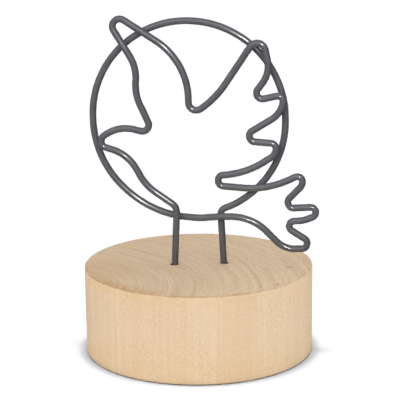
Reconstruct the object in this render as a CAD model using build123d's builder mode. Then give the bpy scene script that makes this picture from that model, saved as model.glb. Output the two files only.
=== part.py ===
# Photo holder: a round wooden block with one length of coated steel wire standing in it. At the back the wire
# is bent into a ring, at the front into a dove, and a photo or card slips between the two.
# Millimetres. X runs to the right, Y to the back and Z up from the middle of the block's underside.
import math
import os

from build123d import *

# Wooden block
block_diameter = 80.0
block_height = 30.5
top_edge_radius = 0.25
bottom_edge_radius = 0.5

# Wire, measured over its coat, and the gap where the dove passes in front of the ring
wire_diameter = 2.4
photo_gap = 0.3

# Holes for the wire's two ends, each with a drill's pointed bottom, and the glue that fills them.
# Each leg stands nearer to the inner wall of its hole, where the glue is thin.
hole_depth = 18.0
drill_point_angle = 118.0
glue_at_inner_wall = 0.1
glue_at_outer_wall = 0.4
glue_below_top = 1.0
glue_under_wire = 0.6

# Where the wire flexes when the dove is eased forward: the left leg and the run to the right of the right leg
flex_height = 17.5
flex_x = 11.0
flex_gap = 0.12

# Where the two legs enter the block, and the bend at the mouth of each hole
left_foot_x = -8.2
right_foot_x = 8.8
foot_bend = 8.0

# Shortest straight that is left between two bends
shortest_straight = 0.05

# Tight bends of the beak and the wing's feathers, made round one pin, and of the tail's feathers
feather_bend = 1.9
tail_bend = 1.8

# Outermost centrelines of the ring, with the ring's top measured above the block
ring_left = -36.4
ring_right = 30.3
ring_top = 85.5

# Sizes that follow
block_radius = block_diameter / 2
wire_radius = wire_diameter / 2
hole_radius = wire_radius + (glue_at_inner_wall + glue_at_outer_wall) / 2
hole_offset = (glue_at_outer_wall - glue_at_inner_wall) / 2
drill_point = hole_radius / math.tan(math.radians(drill_point_angle / 2))
foot_depth = hole_depth - glue_under_wire
front_y = -(wire_diameter + photo_gap) / 2
back_y = (wire_diameter + photo_gap) / 2

# Left knee: x, height above the block and bend radius
left_knee = (-7.3, 20.8, 3.8)

# Bends of the dove in the order they are made, each with its x, its height above the block and its radius
dove_bends = [
    left_knee,
    # Belly and breast
    (-18.0, 28.3, 17.0),
    (-24.1, 39.4, 14.2),
    # Beak, crown and nape
    (-33.3, 42.2, feather_bend),
    (-33.2, 45.4, feather_bend),
    (-26.7, 49.4, 12.3),
    (-14.9, 46.5, 2.3),
    # Left wing, up its front edge, round its tip and down its back edge
    (-21.2, 60.4, 16.0),
    (-20.6, 70.0, 14.0),
    (-29.2, 84.2, 2.5),
    (-26.4, 87.1, 2.5),
    (-3.0, 72.0, 24.0),
    # Back between the wings
    (-2.8, 52.6, 2.7),
    # Right wing, up to its tip
    (6.5, 59.2, 34.0),
    (22.0, 82.5, 2.8),
    (25.2, 68.2, 10.0),
    # First wing feather: notch, then tip
    (17.5, 57.9, 2.1),
    (29.8, 60.7, feather_bend),
    (29.1, 54.2, 9.0),
    # Second wing feather
    (17.9, 47.3, feather_bend),
    (18.3, 44.3, feather_bend),
    (27.2, 43.6, feather_bend),
    (27.2, 39.9, 3.4),
    # Rump and the notch above the tail
    (16.9, 32.9, 31.0),
    (6.9, 32.2, feather_bend),
    (7.5, 28.5, feather_bend),
    # Tail, along its top and round its three feathers
    (24.2, 27.2, 31.0),
    (36.5, 33.2, tail_bend),
    (36.3, 29.0, 3.0),
    (31.2, 23.6, tail_bend),
    (31.8, 20.8, tail_bend),
    (41.2, 21.3, tail_bend),
    (40.9, 18.1, tail_bend),
    (36.8, 16.4, 10.0),
    (31.8, 16.1, tail_bend),
    (31.9, 13.3, tail_bend),
    (38.2, 9.3, tail_bend),
    (37.9, 6.3, tail_bend),
    # Underside of the tail, back up to the run between the legs
    (30.1, 6.1, 8.8),
    (19.0, flex_height, 17.0),
]

# Bends of the ring in order, each with its x, y, height above the block and radius
ring_bends = [
    # Run that passes from in front of the right leg to behind the left leg
    (7.4, front_y, flex_height, 8.0),
    (0.8, 0.0, 16.5, 20.0),
    (-5.8, back_y, 16.7, 8.0),
    # Ring, from its lower left over the top to its lower right
    (-17.3, back_y, 18.8, 36.0),
    (ring_left, back_y, 36.6, 34.3),
    (ring_left, back_y, ring_top, 32.9),
    (ring_right, back_y, ring_top, 33.7),
    (ring_right, back_y, 33.1, 32.8),
    (12.4, back_y, 21.0, 23.0),
    # Right knee
    (7.8, back_y, 19.4, 2.3),
]


def above_block(x, y, height):
    """Point at a height over the block's top."""
    return Vector(x, y, block_height + height)


def on_left_leg(height):
    """Point on the straight left leg, between its foot and its knee."""
    share = height / left_knee[1]
    return above_block(left_foot_x + share * (left_knee[0] - left_foot_x), front_y, height)


def radii_that_fit(points, radii):
    """Each bend's radius, made smaller where the straight beside it is too short for it."""
    runs = [after - before for before, after in zip(points[:-1], points[1:])]
    tangents = [0.0]
    for radius, run, next_run in zip(radii, runs[:-1], runs[1:]):
        tangents.append(radius * math.tan(math.radians(run.get_angle(next_run)) / 2))
    tangents.append(0.0)
    room = []
    for run, start, end in zip(runs, tangents[:-1], tangents[1:]):
        room.append((run.length - shortest_straight) / max(start + end, shortest_straight))
    return [radius * min(1.0, before, after) for radius, before, after in zip(radii, room[:-1], room[1:])]


def bent_wire(points, radii):
    """Round wire along straight runs joined by bends."""
    with BuildPart() as wire:
        with BuildLine() as centre_line:
            FilletPolyline(*points, radius=radii_that_fit(points, radii))
        with BuildSketch(Plane(origin=centre_line.line @ 0, z_dir=centre_line.line % 0)):
            Circle(wire_radius)
        sweep(path=centre_line.line)
    return wire.part


# Where the legs pass through the block's top, and the middle of each hole's mouth
left_foot = above_block(left_foot_x, front_y, 0)
right_foot = above_block(right_foot_x, back_y, 0)
left_mouth = left_foot - Vector(hole_offset, 0, 0)
right_mouth = right_foot + Vector(hole_offset, 0, 0)
down_to_foot = Vector(0, 0, -foot_depth)

# Round wooden block with eased edges and two blind holes
with BuildPart() as wood_block:
    Cylinder(block_radius, block_height, align=(Align.CENTER, Align.CENTER, Align.MIN))
    fillet(wood_block.edges().group_by(Axis.Z)[-1], top_edge_radius)
    fillet(wood_block.edges().group_by(Axis.Z)[0], bottom_edge_radius)
    for mouth in (left_mouth, right_mouth):
        with Locations(mouth):
            Cylinder(
                hole_radius, hole_depth, align=(Align.CENTER, Align.CENTER, Align.MAX), mode=Mode.SUBTRACT
            )
        with Locations(mouth - Vector(0, 0, hole_depth)):
            Cone(
                0, hole_radius, drill_point, align=(Align.CENTER, Align.CENTER, Align.MAX), mode=Mode.SUBTRACT
            )

# Left leg, from its foot in the block up to where it flexes
left_leg_points = [left_foot + down_to_foot, left_foot, on_left_leg(flex_height - flex_gap / 2)]
with BuildPart() as left_leg:
    add(bent_wire(left_leg_points, [foot_bend]))

# Dove, from the top of the left leg round to the run between the legs
dove_points = [on_left_leg(flex_height + flex_gap / 2)]
dove_points += [above_block(x, front_y, height) for x, height, radius in dove_bends]
dove_points.append(above_block(flex_x + flex_gap / 2, front_y, flex_height))
with BuildPart() as dove_loop:
    add(bent_wire(dove_points, [radius for x, height, radius in dove_bends]))

# Ring, from the run between the legs round to the foot of the right leg
ring_points = [above_block(flex_x - flex_gap / 2, front_y, flex_height)]
ring_points += [above_block(x, y, height) for x, y, height, radius in ring_bends]
ring_points += [right_foot, right_foot + down_to_foot]
ring_radii = [radius for x, y, height, radius in ring_bends] + [foot_bend]
with BuildPart() as ring_wire:
    add(bent_wire(ring_points, ring_radii))


def glue_plug(mouth, foot):
    """Glue that fills a hole round the wire's end and below it."""
    with BuildPart() as plug:
        with Locations(mouth - Vector(0, 0, hole_depth)):
            Cylinder(
                hole_radius, hole_depth - glue_below_top, align=(Align.CENTER, Align.CENTER, Align.MIN)
            )
            Cone(0, hole_radius, drill_point, align=(Align.CENTER, Align.CENTER, Align.MAX))
        with Locations(foot + down_to_foot):
            Cylinder(
                wire_radius, foot_depth, align=(Align.CENTER, Align.CENTER, Align.MIN), mode=Mode.SUBTRACT
            )
    return plug.part


with BuildPart() as left_glue:
    add(glue_plug(left_mouth, left_foot))

with BuildPart() as right_glue:
    add(glue_plug(right_mouth, right_foot))

os.makedirs("parts", exist_ok=True)
wood_block.part.label = "wood_block"
export_step(wood_block.part, "parts/wood_block.step")
left_leg.part.label = "left_leg"
export_step(left_leg.part, "parts/left_leg.step")
dove_loop.part.label = "dove_loop"
export_step(dove_loop.part, "parts/dove_loop.step")
ring_wire.part.label = "ring_wire"
export_step(ring_wire.part, "parts/ring_wire.step")
left_glue.part.label = "left_glue"
export_step(left_glue.part, "parts/left_glue.step")
right_glue.part.label = "right_glue"
export_step(right_glue.part, "parts/right_glue.step")
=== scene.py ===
import math
import random

import bmesh
import bpy
from mathutils import Matrix, Vector, noise


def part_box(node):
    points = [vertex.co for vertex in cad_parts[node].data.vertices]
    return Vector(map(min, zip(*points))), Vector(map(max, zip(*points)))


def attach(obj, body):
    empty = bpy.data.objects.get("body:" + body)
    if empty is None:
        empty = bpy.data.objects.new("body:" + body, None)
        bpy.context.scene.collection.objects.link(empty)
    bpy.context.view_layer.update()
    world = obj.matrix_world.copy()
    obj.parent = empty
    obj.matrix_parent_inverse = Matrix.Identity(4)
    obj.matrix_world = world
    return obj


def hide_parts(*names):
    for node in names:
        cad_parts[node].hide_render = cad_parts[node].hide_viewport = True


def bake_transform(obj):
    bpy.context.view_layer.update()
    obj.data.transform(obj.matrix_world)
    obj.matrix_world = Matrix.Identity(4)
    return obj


# The photo holder: a turned wooden block with a dove and a ring bent from one length of coated wire.
# Metres, in the frame of the CAD model: X to the right, Y to the back, Z up from the block's underside.
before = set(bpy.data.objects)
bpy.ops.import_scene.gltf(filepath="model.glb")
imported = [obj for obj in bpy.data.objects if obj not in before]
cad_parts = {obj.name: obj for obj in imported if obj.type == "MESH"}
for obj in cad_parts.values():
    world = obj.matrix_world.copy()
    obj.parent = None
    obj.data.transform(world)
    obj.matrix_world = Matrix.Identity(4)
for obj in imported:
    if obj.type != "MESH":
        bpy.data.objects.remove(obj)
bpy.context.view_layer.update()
mm = 0.001
scene = bpy.context.scene

# Sizes read from the CAD model
block_low, block_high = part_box("wood_block")
block_top = block_high.z
block_radius = (block_high.y - block_low.y) / 2
dove_low, dove_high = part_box("dove_loop")
wire_radius = (dove_high.y - dove_low.y) / 2
front_y = (dove_low.y + dove_high.y) / 2
back_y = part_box("ring_wire")[1].y - wire_radius
foot_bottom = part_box("left_leg")[0].z
glue_boxes = [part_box("left_glue"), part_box("right_glue")]
hole_bottom = glue_boxes[0][0].z
hole_radius = (glue_boxes[0][1].x - glue_boxes[0][0].x) / 2
hole_middles = [(low + high) / 2 for low, high in glue_boxes]

# Block: the easing of its two rims, uneven from hand sanding, in waves and in finer waves half as strong
top_easing = 0.25 * mm
bottom_easing = 0.5 * mm
easing_steps = 6
easing_waver = 0.22
waver_scale = 3
times_finer = 6
block_sides = 512
side_rows = 10

# Nicks along the top rim: the deepest, the widest, and the narrowest as a share of the widest
nick_seed = 4
nick_count = 34
nick_depth = 0.3 * mm
nick_width = 0.9 * mm
narrowest_nick = 0.35

# Drilled holes with rounded mouths, and the hollow in the glue, which clings to the wall and to the wire
hole_sides = 48
hole_rounding = 0.12 * mm
mid_rounding = 0.3 * hole_rounding
drill_point = 0.87 * mm
glue_hollow = 0.25 * mm

# Grain of the wood, in millimetres: the middle of the tree, off the block, how far its growth rings waver,
# and the rings that show most, dark and pale, by their distance from that middle, with their half widths
pith = (-56, -32)
ring_waver = 2.5
bold_rings = (51.5, 57.5, 71.2, 79.2, 84.3)
bold_ring_reach = 1.2
pale_rings = (30.0, 39.0, 48.5)
pale_ring_reach = 0.45
# Units of grain in a radian round the tree's middle, for its fibres and fine fibres, against one in each
# millimetre outward
fibre_units = 3.5
fine_fibre_units = 14.0
# Ends: they turn paler between two distances from the tree's middle, and darker between two places on Y,
# which is painted shade towards the back, and the pale rings fade out between two others
bark_fade = (42, 90)
back_shade_fade = (2, 40)
pale_ring_fade = (-24, -8)
# Depths below an end between which its grain takes over from the side's
end_depths = (0.25, 0.03)

# Rim browned by sanding, as a patch at the left and as a thin edge along the front: the angle of its middle
# in degrees, the angles from there between which it fades, and the distances from the block's axis between
# which it comes in
patch_angle = -131
patch_spread = (15, 40)
patch_reach = (31, 40.5)
edge_angle = -110
edge_spread = (45, 80)
edge_reach = (37.3, 39.7)
# Faint stain at the left of the top, and the distances from its middle between which it fades
stain_middle = (-34, -10)
stain_reach = (5, 21)
# Marks on the top, a small check and some specks: middle, half length and half width, heading in degrees
marks = (
    ((31.7, -2.9), (1.6, 0.5), 8),
    ((28.75, -23.3), (0.75, 0.7), 30),
    ((22.9, -26.7), (0.45, 0.5), 0),
    ((-11.25, -1.7), (0.5, 0.25), 0),
    ((4.0, -14.0), (0.4, 0.3), 0),
)
mark_strength = 0.85

# Side: pale lines down it, with angle, half width and strength
pale_lines = ((-128, 0.9, 0.8), (-90, 0.6, 0.5), (-78, 0.6, 0.5), (-52, 0.7, 0.6), (-39.5, 0.7, 0.6))
# Heights between which the warm tone low on the side fades, and angles between which its right turns paler
low_fade = (1, 17)
right_fade = (-70, -20)
# Warm band under the top rim: the angle of its middle, the angles from there between which it weakens, and
# the depths below the top between which it comes in
warm_angle = -125
warm_spread = (10, 60)
warm_depths = (5.5, 0.5)

# Colours of the wood, and the tints that they are multiplied by
end_pale = (0.742, 0.566, 0.394, 1)
end_dark = (0.56, 0.41, 0.262, 1)
end_line = (0.76, 0.62, 0.46, 1)
side_pale = (0.774, 0.596, 0.422, 1)
side_tan = (0.704, 0.514, 0.322, 1)
side_fleck = (0.674, 0.480, 0.281, 1)
side_line = (0.82, 0.670, 0.503, 1)
mark_brown = (0.24, 0.16, 0.09, 1)
rim_brown = (0.52, 0.285, 0.11, 1)
# Glue stain round the holes, and painted shade inside them
hole_stain_and_shade = (0.05, 0.032, 0.02, 1)
bark_tint = (1.155, 1.15, 1.15, 1)
# Painted shade for the back of the ends
painted_back_shade = (0.88, 0.89, 0.89, 1)
low_tint = (1.0, 0.97, 0.91, 1)
right_tint = (1.0, 1.035, 1.07, 1)
warm_tint = (1.0, 0.975, 0.86, 1)

# Colours of the coat, with painted shade at its feet and the heights above the block where that fades
coat_dark = (0.063, 0.064, 0.071, 1)
coat_pale = (0.075, 0.076, 0.083, 1)
painted_foot_shade = (0.68, 0.68, 0.68, 1)
foot_shade_heights = (2, 15)

# Colours of the glue and of the floor
glue_dark = (0.36, 0.26, 0.13, 1)
glue_pale = (0.50, 0.40, 0.24, 1)
floor_grey = (0.06, 0.06, 0.061, 1)

# Wire: where its legs pass through the block's top, the bend there, the steps along its line, and the
# ripples of its coat, which are as deep as a share of the wire's radius
left_foot_x = -8.2 * mm
right_foot_x = 8.8 * mm
foot_bend = 8.0 * mm
wire_step = 0.5 * mm
step_margin = 0.01
wire_sides = 32
coat_unevenness = 0.012
coat_ripple = 2.5 * mm
# Where its run is cut between dove and ring, as x and height above the block in millimetres
run_cut = 11.0
run_height = 17.5

# Bends of the dove in order: x, height above the block and radius, in millimetres
feather_bend = 1.9
tail_bend = 1.8
dove_bends = [
    # Left knee, belly and breast
    (-7.3, 20.8, 3.8),
    (-18.0, 28.3, 17.0),
    (-24.1, 39.4, 14.2),
    # Beak, crown and nape
    (-33.3, 42.2, feather_bend),
    (-33.2, 45.4, feather_bend),
    (-26.7, 49.4, 12.3),
    (-14.9, 46.5, 2.3),
    # Left wing
    (-21.2, 60.4, 16.0),
    (-20.6, 70.0, 14.0),
    (-29.2, 84.2, 2.5),
    (-26.4, 87.1, 2.5),
    (-3.0, 72.0, 24.0),
    # Back between the wings
    (-2.8, 52.6, 2.7),
    # Right wing and its two feathers
    (6.5, 59.2, 34.0),
    (22.0, 82.5, 2.8),
    (25.2, 68.2, 10.0),
    (17.5, 57.9, 2.1),
    (29.8, 60.7, feather_bend),
    (29.1, 54.2, 9.0),
    (17.9, 47.3, feather_bend),
    (18.3, 44.3, feather_bend),
    (27.2, 43.6, feather_bend),
    (27.2, 39.9, 3.4),
    # Rump and the notch above the tail
    (16.9, 32.9, 31.0),
    (6.9, 32.2, feather_bend),
    (7.5, 28.5, feather_bend),
    # Tail, along its top and round its three feathers
    (24.2, 27.2, 31.0),
    (36.5, 33.2, tail_bend),
    (36.3, 29.0, 3.0),
    (31.2, 23.6, tail_bend),
    (31.8, 20.8, tail_bend),
    (41.2, 21.3, tail_bend),
    (40.9, 18.1, tail_bend),
    (36.8, 16.4, 10.0),
    (31.8, 16.1, tail_bend),
    (31.9, 13.3, tail_bend),
    (38.2, 9.3, tail_bend),
    (37.9, 6.3, tail_bend),
    # Underside of the tail
    (30.1, 6.1, 8.8),
    (19.0, run_height, 17.0),
]

# Bends of the ring in order: x, share of the way from the front plane to the back one, height and radius
ring_bends = [
    # Run that passes from in front of the right leg to behind the left leg
    (7.4, 0.0, run_height, 8.0),
    (0.8, 0.5, 16.5, 20.0),
    (-5.8, 1.0, 16.7, 8.0),
    # Ring, from its lower left over the top to its lower right
    (-17.3, 1.0, 18.8, 36.0),
    (-36.4, 1.0, 36.6, 34.3),
    (-36.4, 1.0, 85.5, 32.9),
    (30.3, 1.0, 85.5, 33.7),
    (30.3, 1.0, 33.1, 32.8),
    (12.4, 1.0, 21.0, 23.0),
    # Right knee
    (7.8, 1.0, 19.4, 2.3),
]

# Studio: round floor, even white light from all round, and a narrow lamp a metre away for the glints
floor_radius = 5.0
floor_sides = 128
floor_drop = 0.01 * mm
white = (1, 1, 1, 1)
sky_strength = 1.08
glint_width = 0.026
glint_length = 0.55
glint_tilt = math.radians(-39)

# Camera at the photograph's viewing angle
camera_place = Vector((46.04, -526.29, 185.53)) * mm
camera_pitch = math.radians(14.031)
camera_heading = math.radians(4.923)
camera_roll = math.radians(-0.538)
camera_sensor = 36.0
camera_lens = 140.53


def above_block(x, height, depth=0.0):
    """Point over the block's top, from millimetres, at a share of the way from front plane to back plane."""
    return Vector((x * mm, front_y + depth * (back_y - front_y), block_top + height * mm))


def add_run(line, end):
    """Carries a line on to a point along a straight run. The margin keeps rounding from adding a step."""
    start = line[-1]
    count = math.ceil((end - start).length / wire_step - step_margin)
    for k in range(1, count + 1):
        line.append(start.lerp(end, k / count))


def add_bend(line, start, before, turn, axis, radius):
    """Carries a line on along an arc that starts in a direction and turns about an axis."""
    centre = start + axis.cross(before) * radius
    count = max(2, math.ceil(radius * turn / wire_step))
    for k in range(1, count + 1):
        line.append(centre + Matrix.Rotation(turn * k / count, 3, axis) @ (start - centre))


def bent_line(points, radii):
    """Close points along straight runs joined by tangent arcs, smaller ones where a run is too short."""
    runs = [after - before for before, after in zip(points[:-1], points[1:])]
    turns = [run.angle(after) for run, after in zip(runs[:-1], runs[1:])]
    reaches = [0.0] + [radius * math.tan(turn / 2) for radius, turn in zip(radii, turns)] + [0.0]
    room = [run.length / max(a + b, wire_step) for run, a, b in zip(runs, reaches[:-1], reaches[1:])]
    line = [points[0].copy()]
    for index, turn in enumerate(turns):
        share = min(1.0, room[index], room[index + 1])
        before = runs[index].normalized()
        axis = before.cross(runs[index + 1]).normalized()
        start = points[index + 1] - before * reaches[index + 1] * share
        add_run(line, start)
        add_bend(line, start, before, turn, axis, radii[index] * share)
    add_run(line, points[-1])
    return line


def new_piece(name, work, material):
    """Object with a finished mesh and its material."""
    mesh = bpy.data.meshes.new(name)
    work.to_mesh(mesh)
    work.free()
    mesh.materials.append(material)
    piece = bpy.data.objects.new(name, mesh)
    scene.collection.objects.link(piece)
    return piece


def bridge(work, rings):
    """Faces from each ring of points to the next."""
    for ring, after in zip(rings[:-1], rings[1:]):
        for k in range(len(ring)):
            following = (k + 1) % len(ring)
            work.faces.new((ring[k], ring[following], after[following], after[k]))


def close_ring(work, ring, middle, height):
    """Faces from a ring to one point."""
    tip = work.verts.new((middle.x, middle.y, height))
    for k in range(len(ring)):
        work.faces.new((ring[k], ring[(k + 1) % len(ring)], tip))


def wire_ring(work, point, across, side):
    """Ring of points round the wire's line, with the coat a little uneven."""
    ring = []
    for k in range(wire_sides):
        angle = math.tau * k / wire_sides
        out = across * math.cos(angle) + side * math.sin(angle)
        dip = 0.5 + 0.5 * noise.noise((point + out * wire_radius) / coat_ripple)
        ring.append(work.verts.new(point + out * wire_radius * (1 - coat_unevenness * dip)))
    return ring


def wire(name, line, material):
    """Round coated wire along a line, closed at both ends."""
    work = bmesh.new()
    across = Vector((0, 1, 0))
    rings = []
    for index, point in enumerate(line):
        ahead = (line[min(index + 1, len(line) - 1)] - line[max(index - 1, 0)]).normalized()
        across = (across - ahead * across.dot(ahead)).normalized()
        rings.append(wire_ring(work, point, across, ahead.cross(across)))
    bridge(work, rings)
    caps = [work.faces.new(rings[0]), work.faces.new(rings[-1])]
    bmesh.ops.recalc_face_normals(work, faces=work.faces)
    for face in work.faces:
        face.smooth = True
    for cap in caps:
        cap.smooth = False
        for edge in cap.edges:
            edge.smooth = False
    return new_piece(name, work, material)


def rim_nicks():
    """Nicks along the top rim: the angle, depth and width of each."""
    draw = random.Random(nick_seed)
    nicks = []
    while len(nicks) < nick_count:
        depth = nick_depth * draw.random() ** 3
        width = nick_width * (narrowest_nick + (1 - narrowest_nick) * draw.random())
        nicks.append((draw.uniform(0, math.tau), depth, width))
    return nicks


def rim_easing(angle, size, nicks):
    """Radius that the rim is eased by at an angle round the block."""
    place = Vector((math.cos(angle), math.sin(angle), size / mm)) * waver_scale
    waver = noise.noise(place) + 0.5 * noise.noise(place * times_finer)
    easing = size * (1 + easing_waver * waver)
    for middle, depth, width in nicks:
        away = math.remainder(angle - middle, math.tau) * block_radius
        easing += depth * math.exp(-(away / width) ** 2)
    return easing


def block_profile(angle, nicks):
    """Outline of the block at an angle, from its underside to its top: distance from the axis and height."""
    low = rim_easing(angle, bottom_easing, [])
    high = rim_easing(angle, top_easing, nicks)
    tilts = [math.pi / 2 * k / easing_steps for k in range(easing_steps + 1)]
    outline = []
    for tilt in tilts:
        outline.append((block_radius - low * (1 - math.sin(tilt)), low * (1 - math.cos(tilt))))
    for k in range(1, side_rows):
        outline.append((block_radius, low + (block_top - high - low) * k / side_rows))
    for tilt in tilts:
        outline.append((block_radius - high * (1 - math.cos(tilt)), block_top - high * (1 - math.sin(tilt))))
    return outline


def circle(work, middle, radius, height):
    """Level ring of points about a hole's middle or the wire's."""
    ring = []
    for k in range(hole_sides):
        angle = math.tau * k / hole_sides
        x = middle.x + radius * math.cos(angle)
        y = middle.y + radius * math.sin(angle)
        ring.append(work.verts.new((x, y, height)))
    return ring


def drilled_hole(work, middle):
    """Wall and pointed bottom of one hole. Gives the edges of its mouth."""
    steps = [(hole_rounding, 0.0), (mid_rounding, mid_rounding), (0.0, hole_rounding)]
    steps.append((0.0, block_top - hole_bottom - drill_point))
    rings = [circle(work, middle, hole_radius + wider, block_top - depth) for wider, depth in steps]
    bridge(work, rings)
    close_ring(work, rings[-1], middle, hole_bottom)
    mouth = rings[0]
    return [work.edges.get((mouth[k], mouth[(k + 1) % hole_sides])) for k in range(hole_sides)]


def wood_block(material):
    """Turned block with sanded rims and two drilled holes."""
    nicks = rim_nicks()
    work = bmesh.new()
    columns = []
    for k in range(block_sides):
        angle = math.tau * k / block_sides
        outline = block_profile(angle, nicks)
        columns.append([work.verts.new((r * math.cos(angle), r * math.sin(angle), z)) for r, z in outline])
    for column, after in zip(columns, columns[1:] + columns[:1]):
        for k in range(len(column) - 1):
            work.faces.new((column[k], after[k], after[k + 1], column[k + 1])).smooth = True
    underside = work.faces.new([column[0] for column in columns])
    rim = [work.edges.get((a[-1], b[-1])) for a, b in zip(columns, columns[1:] + columns[:1])]
    mouths = []
    for middle in hole_middles:
        mouths += drilled_hole(work, middle)
    bmesh.ops.triangle_fill(work, edges=rim + mouths, use_beauty=True)
    bmesh.ops.recalc_face_normals(work, faces=work.faces)
    for edge in rim + mouths + list(underside.edges):
        edge.smooth = False
    return new_piece("turned_block", work, material)


def glue_plug(name, box, foot, material):
    """Glue that fills a hole round the wire's end and below it, with a hollow round its top."""
    low, high = box
    middle = (low + high) / 2
    work = bmesh.new()
    rings = [
        circle(work, middle, hole_radius, low.z + drill_point),
        circle(work, middle, hole_radius, high.z),
        circle(work, (middle + foot) / 2, (hole_radius + wire_radius) / 2, high.z - glue_hollow),
        circle(work, foot, wire_radius, high.z),
        circle(work, foot, wire_radius, foot_bottom),
    ]
    bridge(work, rings)
    close_ring(work, rings[0], middle, low.z)
    close_ring(work, rings[-1], foot, foot_bottom)
    bmesh.ops.recalc_face_normals(work, faces=work.faces)
    return new_piece(name, work, material)


# Short forms for building materials from nodes. A value may be a number, a colour or another node's output.
def feed(tree, socket, value):
    """Sets an input, or links it to another node's output."""
    if isinstance(value, bpy.types.NodeSocket):
        tree.links.new(value, socket)
    else:
        socket.default_value = value


def calc(tree, operation, first, second=0.0):
    """Result of a sum on one or two numbers."""
    node = tree.nodes.new("ShaderNodeMath")
    node.operation = operation
    feed(tree, node.inputs[0], first)
    feed(tree, node.inputs[1], second)
    return node.outputs[0]


def vector_calc(tree, operation, first, second=(0, 0, 0)):
    """Result of a sum on one or two vectors."""
    node = tree.nodes.new("ShaderNodeVectorMath")
    node.operation = operation
    feed(tree, node.inputs[0], first)
    feed(tree, node.inputs[1], second)
    return node.outputs["Value"] if operation in ("LENGTH", "DISTANCE") else node.outputs["Vector"]


def axis_of(tree, vector, axis):
    """One of a vector's three numbers: X, Y or Z."""
    node = tree.nodes.new("ShaderNodeSeparateXYZ")
    feed(tree, node.inputs[0], vector)
    return node.outputs[axis]


def together(tree, x, y, z=0.0):
    """Vector of three numbers."""
    node = tree.nodes.new("ShaderNodeCombineXYZ")
    for socket, value in zip(node.inputs, (x, y, z)):
        feed(tree, socket, value)
    return node.outputs[0]


def ease(tree, value, start, end, before=0.0, after=1.0):
    """Number that goes smoothly from one level to another as a value passes from a start to an end."""
    node = tree.nodes.new("ShaderNodeMapRange")
    node.interpolation_type = "SMOOTHSTEP"
    feed(tree, node.inputs["Value"], value)
    for name, level in zip(("From Min", "From Max", "To Min", "To Max"), (start, end, before, after)):
        feed(tree, node.inputs[name], level)
    return node.outputs["Result"]


def gap(tree, value, middle):
    """How far a value is from a middle, either way."""
    return calc(tree, "ABSOLUTE", calc(tree, "SUBTRACT", value, middle))


def near(tree, value, middle, reach):
    """One where a value is at a middle, falling smoothly to zero a reach away."""
    return ease(tree, gap(tree, value, middle), 0.0, reach, before=1.0, after=0.0)


def grain(tree, place, scale, detail=2.0, output="Fac"):
    """Noise over a place in millimetres, with cells of about one over scale."""
    node = tree.nodes.new("ShaderNodeTexNoise")
    feed(tree, node.inputs["Vector"], place)
    node.inputs["Scale"].default_value = scale
    node.inputs["Detail"].default_value = detail
    return node.outputs[output]


def blend(tree, share, first, second, way="MIX"):
    """Mix of two colours."""
    node = tree.nodes.new("ShaderNodeMix")
    node.data_type = "RGBA"
    node.blend_type = way
    feed(tree, node.inputs[0], share)
    feed(tree, node.inputs[6], first)
    feed(tree, node.inputs[7], second)
    return node.outputs[2]


def tint(tree, share, colour, by):
    """Colour multiplied by another, as strongly as a share."""
    return blend(tree, share, colour, by, "MULTIPLY")


def bump(tree, height, strength, depth):
    """Normal of a surface with fine relief."""
    node = tree.nodes.new("ShaderNodeBump")
    node.inputs["Strength"].default_value = strength
    node.inputs["Distance"].default_value = depth
    feed(tree, node.inputs["Height"], height)
    return node.outputs["Normal"]


def new_material(name):
    """Material made of nodes, with its node tree and its shader."""
    material = bpy.data.materials.new(name)
    material.use_nodes = True
    return material, material.node_tree, material.node_tree.nodes["Principled BSDF"]


def place_on(tree):
    """Place on the piece, in millimetres."""
    where = tree.nodes.new("ShaderNodeTexCoord").outputs["Object"]
    return vector_calc(tree, "MULTIPLY", where, (1 / mm, 1 / mm, 1 / mm))


def drawn_out(tree, place, share):
    """Place with its height scaled by a share, so that a grain is drawn out upright, endlessly at zero."""
    return vector_calc(tree, "MULTIPLY", place, (1, 1, share))


def spot(tree, place, middle, reach, heading):
    """One inside a long round mark on the block's top, falling to zero at its edge."""
    node = tree.nodes.new("ShaderNodeMapping")
    node.vector_type = "TEXTURE"
    feed(tree, node.inputs["Vector"], place)
    node.inputs["Location"].default_value = (*middle, block_top / mm)
    node.inputs["Rotation"].default_value = (0, 0, math.radians(heading))
    node.inputs["Scale"].default_value = (*reach, 1)
    return ease(tree, vector_calc(tree, "LENGTH", node.outputs[0]), 0.5, 1.0, before=1.0, after=0.0)


def powder_coat():
    """Dark grey coat with a soft sheen, fine orange peel and uneven tone, and painted shade at the feet."""
    material, tree, shader = new_material("powder_coat")
    place = place_on(tree)
    peel = grain(tree, place, scale=2.2, detail=1.0)
    tone = grain(tree, place, scale=0.25, detail=3.0)
    colour = blend(tree, ease(tree, tone, 0.3, 0.7), coat_dark, coat_pale)
    above = calc(tree, "SUBTRACT", axis_of(tree, place, "Z"), block_top / mm)
    # Painted shade: the coat is darkened towards the feet, near the block
    colour = tint(tree, ease(tree, above, *foot_shade_heights, before=1.0, after=0.0), colour, painted_foot_shade)
    feed(tree, shader.inputs["Base Color"], colour)
    feed(tree, shader.inputs["Roughness"], ease(tree, peel, 0.3, 0.7, before=0.42, after=0.5))
    feed(tree, shader.inputs["Normal"], bump(tree, peel, strength=0.15, depth=0.02 * mm))
    shader.inputs["Specular IOR Level"].default_value = 0.12
    shader.inputs["Coat Weight"].default_value = 0.7
    shader.inputs["Coat Roughness"].default_value = 0.14
    return material


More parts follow.
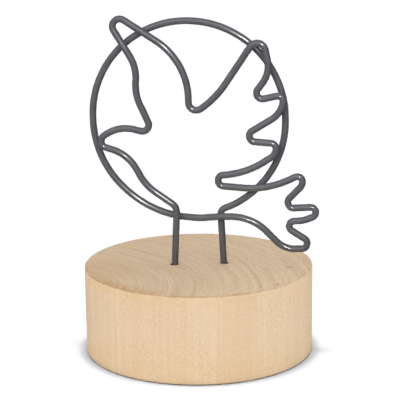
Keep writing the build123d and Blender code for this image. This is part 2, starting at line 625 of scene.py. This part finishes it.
def growth_rings(tree, place):
    """Distance from the tree's middle, fibres along its growth rings, and how dark rings and fibres are."""
    upright = drawn_out(tree, place, 0.06)
    waver = vector_calc(tree, "SUBTRACT", grain(tree, upright, scale=0.06, output="Color"), (0.5, 0.5, 0.5))
    waver = vector_calc(tree, "MULTIPLY", waver, (ring_waver, ring_waver, 0))
    bent = vector_calc(tree, "ADD", drawn_out(tree, place, 0), waver)
    outward = vector_calc(tree, "SUBTRACT", bent, (*pith, 0))
    age = vector_calc(tree, "LENGTH", outward)
    along = calc(tree, "ARCTAN2", axis_of(tree, outward, "Y"), axis_of(tree, outward, "X"))
    lengthwise = together(tree, age, calc(tree, "MULTIPLY", along, fibre_units))
    fibres = grain(tree, lengthwise, scale=0.6, detail=3.0)
    lengthwise = together(tree, age, calc(tree, "MULTIPLY", along, fine_fibre_units))
    fine_fibres = grain(tree, lengthwise, scale=2.4)
    rings = 0.0
    for ring in bold_rings:
        rings = calc(tree, "MAXIMUM", rings, near(tree, age, ring, bold_ring_reach))
    patchy = ease(tree, grain(tree, upright, scale=0.11), 0.38, 0.62, before=0.1, after=0.55)
    dark_fibres = ease(tree, fibres, 0.34, 0.66, after=0.43)
    dark_fibres = calc(tree, "ADD", dark_fibres, ease(tree, fine_fibres, 0.32, 0.68, after=0.6))
    dark = calc(tree, "ADD", calc(tree, "MULTIPLY", rings, patchy), dark_fibres)
    return age, fibres, dark


def end_grain(tree, place, age, dark, pores):
    """Block's ends: paler towards the bark, painted shade at the back, pores, pale rings and marks."""
    back = axis_of(tree, place, "Y")
    ends = blend(tree, dark, end_pale, end_dark)
    ends = tint(tree, ease(tree, age, *bark_fade), ends, bark_tint)
    # Painted shade: the ends darken towards the back
    ends = tint(tree, ease(tree, back, *back_shade_fade), ends, painted_back_shade)
    ends = blend(tree, ease(tree, pores, 0.42, 0.6, after=0.5), ends, end_dark)
    front = ease(tree, back, *pale_ring_fade, before=0.4, after=0.0)
    for ring in pale_rings:
        share = calc(tree, "MULTIPLY", front, near(tree, age, ring, pale_ring_reach))
        ends = blend(tree, share, ends, end_line)
    for middle, reach, heading in marks:
        share = calc(tree, "MULTIPLY", spot(tree, place, middle, reach, heading), mark_strength)
        ends = blend(tree, share, ends, mark_brown)
    return ends


def browned(tree, place, turn, fibres, ends):
    """Ends with brown along the front of the rim, widest at the left, and with a faint stain there."""
    flat = drawn_out(tree, place, 0)
    reach = vector_calc(tree, "LENGTH", flat)
    rough = calc(tree, "MULTIPLY", grain(tree, flat, scale=0.3, detail=3.0), calc(tree, "ADD", fibres, 0.5))
    rough = ease(tree, rough, 0.3, 0.65, before=0.3)
    patch = ease(tree, gap(tree, turn, patch_angle), *patch_spread, before=1.0, after=0.0)
    patch = calc(tree, "MULTIPLY", patch, ease(tree, reach, *patch_reach, after=0.8))
    edge = ease(tree, gap(tree, turn, edge_angle), *edge_spread, before=0.65, after=0.2)
    edge = calc(tree, "MULTIPLY", edge, ease(tree, reach, *edge_reach))
    rim = calc(tree, "MULTIPLY", rough, calc(tree, "MAXIMUM", patch, edge))
    away = vector_calc(tree, "DISTANCE", flat, (*stain_middle, 0))
    stain = ease(tree, away, *stain_reach, before=0.22, after=0.0)
    return blend(tree, calc(tree, "MAXIMUM", stain, rim), ends, rim_brown)


def side_grain(tree, place, turn, pores):
    """Side of the block: streaks, clouds, pale lines and flecks, warmer low down and under the top rim."""
    height = axis_of(tree, place, "Z")
    streaks = grain(tree, drawn_out(tree, place, 0.03), scale=0.6, detail=3.0)
    clouds = grain(tree, drawn_out(tree, place, 0.06), scale=0.07, detail=3.0)
    side = blend(tree, ease(tree, streaks, 0.3, 0.7, before=0.2, after=0.7), side_pale, side_tan)
    side = blend(tree, ease(tree, clouds, 0.4, 0.7, after=0.5), side, side_tan)
    for angle, reach, strength in pale_lines:
        line = near(tree, turn, angle, math.degrees(reach * mm / block_radius))
        share = calc(tree, "MULTIPLY", line, calc(tree, "MULTIPLY", streaks, strength))
        side = blend(tree, share, side, side_line)
    patches = grain(tree, drawn_out(tree, place, 0.45), scale=0.17)
    patches = ease(tree, patches, 0.36, 0.62, before=0.42, after=0.78)
    flecks = calc(tree, "MULTIPLY", ease(tree, pores, 0.38, 0.64), patches)
    side = blend(tree, flecks, side, side_fleck)
    side = tint(tree, ease(tree, height, *low_fade, before=1.0, after=0.0), side, low_tint)
    side = tint(tree, ease(tree, turn, *right_fade), side, right_tint)
    warm = ease(tree, gap(tree, turn, warm_angle), *warm_spread, before=1.0, after=0.4)
    band = ease(tree, height, *[block_top / mm - depth for depth in warm_depths])
    return tint(tree, calc(tree, "MULTIPLY", warm, band), side, warm_tint)


def stained_and_shaded_holes(tree, place, wood):
    """Wood dark in and round each hole: partly a glue stain, partly painted shade in the hole."""
    flat = drawn_out(tree, place, 0)
    for middle in hole_middles:
        away = vector_calc(tree, "DISTANCE", flat, (middle.x / mm, middle.y / mm, 0))
        mouth = (hole_radius + hole_rounding) / mm
        inside = ease(tree, away, hole_radius / mm, mouth, before=1.0, after=0.0)
        # One dark colour for the glue stain at the mouth and the painted shade down the wall
        wood = blend(tree, inside, wood, hole_stain_and_shade)
    return wood


def turned_wood():
    """Pale hardwood with upright grain: growth rings on the two ends, flecks and streaks down the side."""
    material, tree, shader = new_material("wood")
    place = place_on(tree)
    turn = calc(tree, "DEGREES", calc(tree, "ARCTAN2", axis_of(tree, place, "Y"), axis_of(tree, place, "X")))
    pores = grain(tree, drawn_out(tree, place, 0.5), scale=1.9)
    age, fibres, dark = growth_rings(tree, place)
    ends = browned(tree, place, turn, fibres, end_grain(tree, place, age, dark, pores))
    side = side_grain(tree, place, turn, pores)
    half = block_top / mm / 2
    from_middle = gap(tree, axis_of(tree, place, "Z"), half)
    on_end = ease(tree, from_middle, *[half - depth for depth in end_depths])
    wood = stained_and_shaded_holes(tree, place, blend(tree, on_end, side, ends))
    feed(tree, shader.inputs["Base Color"], wood)
    feed(tree, shader.inputs["Roughness"], ease(tree, pores, 0.3, 0.7, before=0.55, after=0.72))
    feed(tree, shader.inputs["Normal"], bump(tree, pores, strength=0.2, depth=0.05 * mm))
    shader.inputs["Specular IOR Level"].default_value = 0.25
    return material


def cured_glue():
    """Yellowish glue, cloudy and a little lumpy."""
    material, tree, shader = new_material("glue")
    cloud = grain(tree, place_on(tree), scale=0.9, detail=3.0)
    colour = blend(tree, ease(tree, cloud, 0.3, 0.7), glue_dark, glue_pale)
    feed(tree, shader.inputs["Base Color"], colour)
    feed(tree, shader.inputs["Roughness"], ease(tree, cloud, 0.3, 0.7, before=0.3, after=0.5))
    feed(tree, shader.inputs["Normal"], bump(tree, cloud, strength=0.4, depth=0.1 * mm))
    return material


def floor_paint():
    """Plain matt floor, dark so that it throws little light back, and made white by its own lamps."""
    material, tree, shader = new_material("floor_paint")
    feed(tree, shader.inputs["Base Color"], floor_grey)
    shader.inputs["Roughness"].default_value = 0.9
    shader.inputs["Specular IOR Level"].default_value = 0.0
    return material


def pale_floor():
    """Wide round floor just under the block, left out of reflections."""
    work = bmesh.new()
    bmesh.ops.create_circle(work, cap_ends=True, radius=floor_radius, segments=floor_sides)
    floor = new_piece("floor", work, floor_paint())
    floor.location.z = -floor_drop
    floor.visible_glossy = False
    return floor


def white_sky():
    """Even white light from all round, left out of reflections."""
    world = bpy.data.worlds.new("studio")
    world.use_nodes = True
    background = world.node_tree.nodes["Background"]
    background.inputs["Color"].default_value = white
    background.inputs["Strength"].default_value = sky_strength
    world.cycles_visibility.glossy = False
    return world


def from_front(azimuth, elevation):
    """Direction at an azimuth to the right of the front and at an elevation."""
    turn = math.radians(azimuth)
    lift = math.radians(elevation)
    return Vector((math.sin(turn) * math.cos(lift), -math.cos(turn) * math.cos(lift), math.sin(lift)))


def add_lamp(name, kind, away, power):
    """Light that shines from a direction towards the object."""
    light = bpy.data.lights.new(name, kind)
    light.energy = power
    lamp = bpy.data.objects.new(name, light)
    scene.collection.objects.link(lamp)
    lamp.location = away
    lamp.rotation_euler = (-away).to_track_quat("-Z", "Y").to_euler()
    return lamp


def far_light(name, azimuth, elevation, spread, power, glossy=True):
    """Even light from far away, as soft as the spread in degrees, with or without gloss."""
    lamp = add_lamp(name, "SUN", from_front(azimuth, elevation), power)
    lamp.data.angle = math.radians(spread)
    lamp.visible_glossy = glossy
    return lamp


def glint_light():
    """Narrow slanted lamp that only makes glints."""
    lamp = add_lamp("glint_light", "AREA", from_front(azimuth=13.4, elevation=19.8), power=8.5)
    lamp.data.shape = "RECTANGLE"
    lamp.data.size = glint_width
    lamp.data.size_y = glint_length
    lamp.rotation_euler.rotate_axis("Z", glint_tilt)
    lamp.visible_diffuse = False


def light_only(lamp, *pieces):
    """Keeps a lamp's light to some pieces."""
    lit = bpy.data.collections.new("lit_by_" + lamp.name)
    for piece in pieces:
        lit.objects.link(piece)
    lamp.light_linking.receiver_collection = lit


# Wire: the dove with the left leg, and the ring with its leg
left_foot = Vector((left_foot_x, front_y, block_top))
right_foot = Vector((right_foot_x, back_y, block_top))
down_to_foot = Vector((0, 0, foot_bottom - block_top))
run_end = above_block(run_cut, run_height)

front_points = [left_foot + down_to_foot, left_foot]
front_points += [above_block(x, height) for x, height, radius in dove_bends] + [run_end]
front_radii = [foot_bend] + [radius * mm for x, height, radius in dove_bends]
ring_points = [run_end] + [above_block(x, height, depth) for x, depth, height, radius in ring_bends]
ring_points += [right_foot, right_foot + down_to_foot]
ring_radii = [radius * mm for x, depth, height, radius in ring_bends] + [foot_bend]

coat = powder_coat()
dove_wire = wire("dove_wire", bent_line(front_points, front_radii), coat)
ring_wire = wire("ring_and_leg_wire", bent_line(ring_points, ring_radii), coat)
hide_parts("left_leg", "dove_loop")
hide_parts("ring_wire")
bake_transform(dove_wire)
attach(ring_wire, "stand")

# Block and glue
block = wood_block(turned_wood())
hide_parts("wood_block")
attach(block, "stand")
glue = cured_glue()
for node, box, foot in zip(("left_glue", "right_glue"), glue_boxes, (left_foot, right_foot)):
    plug = glue_plug(node + "_plug", box, foot, glue)
    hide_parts(node)
    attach(plug, "stand")

# Studio: floor and lights
floor = pale_floor()
scene.world = white_sky()
far_light("main_light", azimuth=-3, elevation=35, spread=70, power=0.15)
far_light("front_light", azimuth=0, elevation=28.5, spread=6, power=0.16, glossy=False)
glint_light()
for name, azimuth in (("left_floor_light", -105), ("right_floor_light", 105)):
    light_only(far_light(name, azimuth, elevation=86, spread=7, power=24.8), floor)
wire_lights = (
    far_light("wire_light", azimuth=-50, elevation=32, spread=40, power=1.8, glossy=False),
    far_light("sheen_light", azimuth=-2, elevation=42, spread=70, power=1.1),
    far_light("back_light", azimuth=185, elevation=4, spread=4, power=2.8, glossy=False),
)
for lamp in wire_lights:
    light_only(lamp, dove_wire, ring_wire)

# Camera, pitched down, turned to its heading and rolled
camera_data = bpy.data.cameras.new("camera")
camera_data.sensor_width = camera_sensor
camera_data.lens = camera_lens
camera = bpy.data.objects.new("camera", camera_data)
scene.collection.objects.link(camera)
scene.camera = camera
aim = Matrix.Rotation(camera_heading, 4, "Z") @ Matrix.Rotation(math.pi / 2 - camera_pitch, 4, "X")
camera.matrix_world = Matrix.Translation(camera_place) @ aim @ Matrix.Rotation(camera_roll, 4, "Z")
scene.view_settings.view_transform = "Standard"
